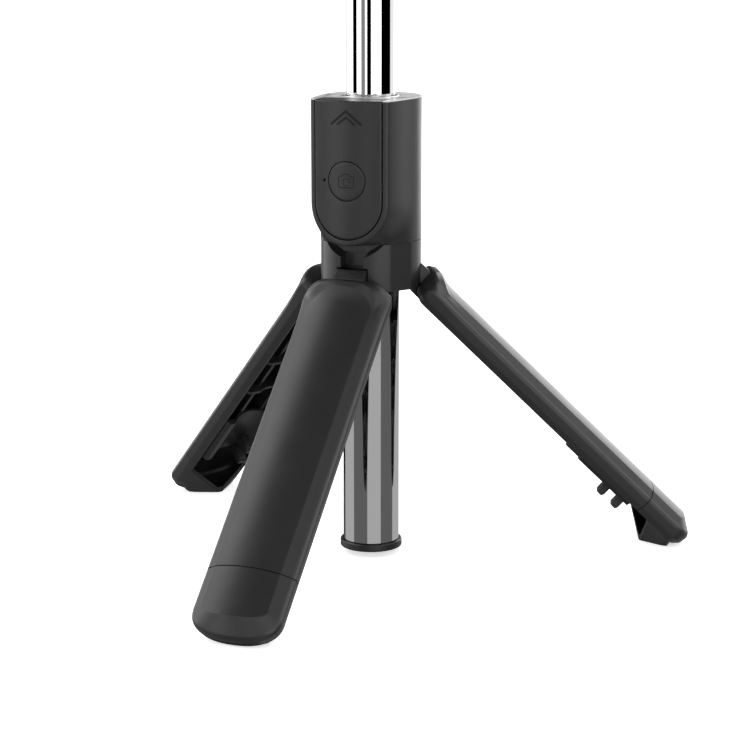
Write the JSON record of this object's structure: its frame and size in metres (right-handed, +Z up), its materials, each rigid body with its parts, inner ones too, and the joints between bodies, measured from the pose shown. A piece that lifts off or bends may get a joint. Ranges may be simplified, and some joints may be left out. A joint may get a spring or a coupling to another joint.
{
  "type": "selfie stick",
  "caption": "Telescopic selfie stick standing on fold-out tripod legs, with a docked shutter remote and a sprung, tilting phone clamp.",
  "frame": {"origin": "centre of the base cap's flat underside, on the pole's axis", "axes": "+Z up the pole; -Y the side the remote and the front leg face; +X to the right seen from the front"},
  "size_m": [0.1858, 0.1647, 0.3403],
  "materials": {
    "handle_plastic": "satin moulded",
    "leg_plastic": "satin moulded",
    "dark_plastic": "fine moulded",
    "button_plastic": "soft matte",
    "top_plate_satin": "satin painted",
    "pole_chrome": "polished",
    "fastener_steel": "bright",
    "cell_and_contact_steel": "bright",
    "board_laminate": "green resist",
    "light_lens": "clear tint",
    "clamp_rubber": "ribbed"
  },
  "bodies": {
    "base": {"body_housing": "handle_plastic", "top_plate": "top_plate_satin", "leg_hub": "handle_plastic", "hub_screw_back": "fastener_steel", "hub_screw_left": "fastener_steel", "hub_screw_right": "fastener_steel", "leg_pin_front": "fastener_steel", "leg_pin_right": "fastener_steel", "leg_pin_left": "fastener_steel", "base_cap": "dark_plastic", "tube_bush": "dark_plastic", "outer_tube": "pole_chrome"},
    "remote": {"remote_front_shell": "handle_plastic", "remote_back_cover": "handle_plastic", "remote_circuit_board": "board_laminate", "remote_dome_switch": "cell_and_contact_steel", "remote_status_light": "light_lens", "remote_coin_cell": "cell_and_contact_steel", "remote_battery_contact": "cell_and_contact_steel"},
    "shutter": {"shutter_button": "button_plastic"},
    "leg_front": {"leg_front_shell": "leg_plastic", "leg_front_hinge_tongue": "leg_plastic", "leg_front_rib_frame": "leg_plastic", "leg_front_foot_cap": "leg_plastic"},
    "leg_right": {"leg_right_shell": "leg_plastic", "leg_right_hinge_tongue": "leg_plastic", "leg_right_rib_frame": "leg_plastic", "leg_right_foot_cap": "leg_plastic"},
    "leg_left": {"leg_left_shell": "leg_plastic", "leg_left_hinge_tongue": "leg_plastic", "leg_left_rib_frame": "leg_plastic", "leg_left_foot_cap": "leg_plastic"},
    "pole_2": {"pole_tube_2": "pole_chrome", "pole_glide_2": "dark_plastic"},
    "pole_3": {"pole_tube_3": "pole_chrome", "pole_glide_3": "dark_plastic"},
    "pole_4": {"pole_tube_4": "pole_chrome", "pole_glide_4": "dark_plastic"},
    "pole_5": {"pole_tube_5": "pole_chrome", "pole_glide_5": "dark_plastic"},
    "pole_6": {"pole_tube_6": "pole_chrome", "pole_glide_6": "dark_plastic", "pole_top_cap": "dark_plastic"},
    "swivel": {"swivel_yoke": "handle_plastic", "tilt_bolt": "fastener_steel", "tilt_nut": "dark_plastic"},
    "clamp": {"clamp_lower_body": "handle_plastic", "clamp_back_cover": "handle_plastic", "clamp_screw_lower": "fastener_steel", "clamp_screw_upper": "fastener_steel", "clamp_pad_lower": "clamp_rubber", "clamp_spring_left": "fastener_steel", "clamp_spring_right": "fastener_steel"},
    "jaw": {"clamp_upper_jaw": "handle_plastic", "clamp_pad_upper": "clamp_rubber", "clamp_rod_left": "fastener_steel", "clamp_rod_right": "fastener_steel"}
  },
  "joints": [
    {"name": "remote_lift", "type": "slide", "parent": "base", "child": "remote", "axis": [0, 0, 1], "range_m": [0, 0.046]},
    {"name": "shutter_press", "type": "slide", "parent": "remote", "child": "shutter", "axis": [0, 1, 0], "range_m": [0, 0.0006], "stiffness_N_per_m": 100},
    {"name": "leg_front_fold", "type": "hinge", "parent": "base", "child": "leg_front", "pos_m": [0, -0.0115, 0.08907], "axis": [-1, 0, 0], "range_deg": [-45.5, 0]},
    {"name": "leg_right_fold", "type": "hinge", "parent": "base", "child": "leg_right", "pos_m": [0.00996, 0.00575, 0.08907], "axis": [0.5, -0.866, 0], "range_deg": [-45.5, 0]},
    {"name": "leg_left_fold", "type": "hinge", "parent": "base", "child": "leg_left", "pos_m": [-0.00996, 0.00575, 0.08907], "axis": [0.5, 0.866, 0], "range_deg": [-45.5, 0]},
    {"name": "pole_2_slide", "type": "slide", "parent": "base", "child": "pole_2", "axis": [0, 0, 1], "range_m": [-0.044, 0.062]},
    {"name": "pole_3_slide", "type": "slide", "parent": "pole_2", "child": "pole_3", "axis": [0, 0, 1], "range_m": [-0.01, 0.093]},
    {"name": "pole_4_slide", "type": "slide", "parent": "pole_3", "child": "pole_4", "axis": [0, 0, 1], "range_m": [-0.01, 0.09]},
    {"name": "pole_5_slide", "type": "slide", "parent": "pole_4", "child": "pole_5", "axis": [0, 0, 1], "range_m": [-0.01, 0.087]},
    {"name": "pole_6_slide", "type": "slide", "parent": "pole_5", "child": "pole_6", "axis": [0, 0, 1], "range_m": [-0.01, 0.084]},
    {"name": "head_swivel", "type": "hinge", "parent": "pole_6", "child": "swivel", "pos_m": [0, 0, 0.2483], "axis": [0, 0, 1], "continuous": true},
    {"name": "clamp_tilt", "type": "hinge", "parent": "swivel", "child": "clamp", "pos_m": [0, 0, 0.2658], "axis": [1, 0, 0], "range_deg": [-90, 90]},
    {"name": "clamp_open", "type": "slide", "parent": "clamp", "child": "jaw", "axis": [0, 0, 1], "range_m": [0, 0.032], "stiffness_N_per_m": 150, "springref_m": -0.02, "deforming": ["clamp_spring_left", "clamp_spring_right"]}
  ]
}
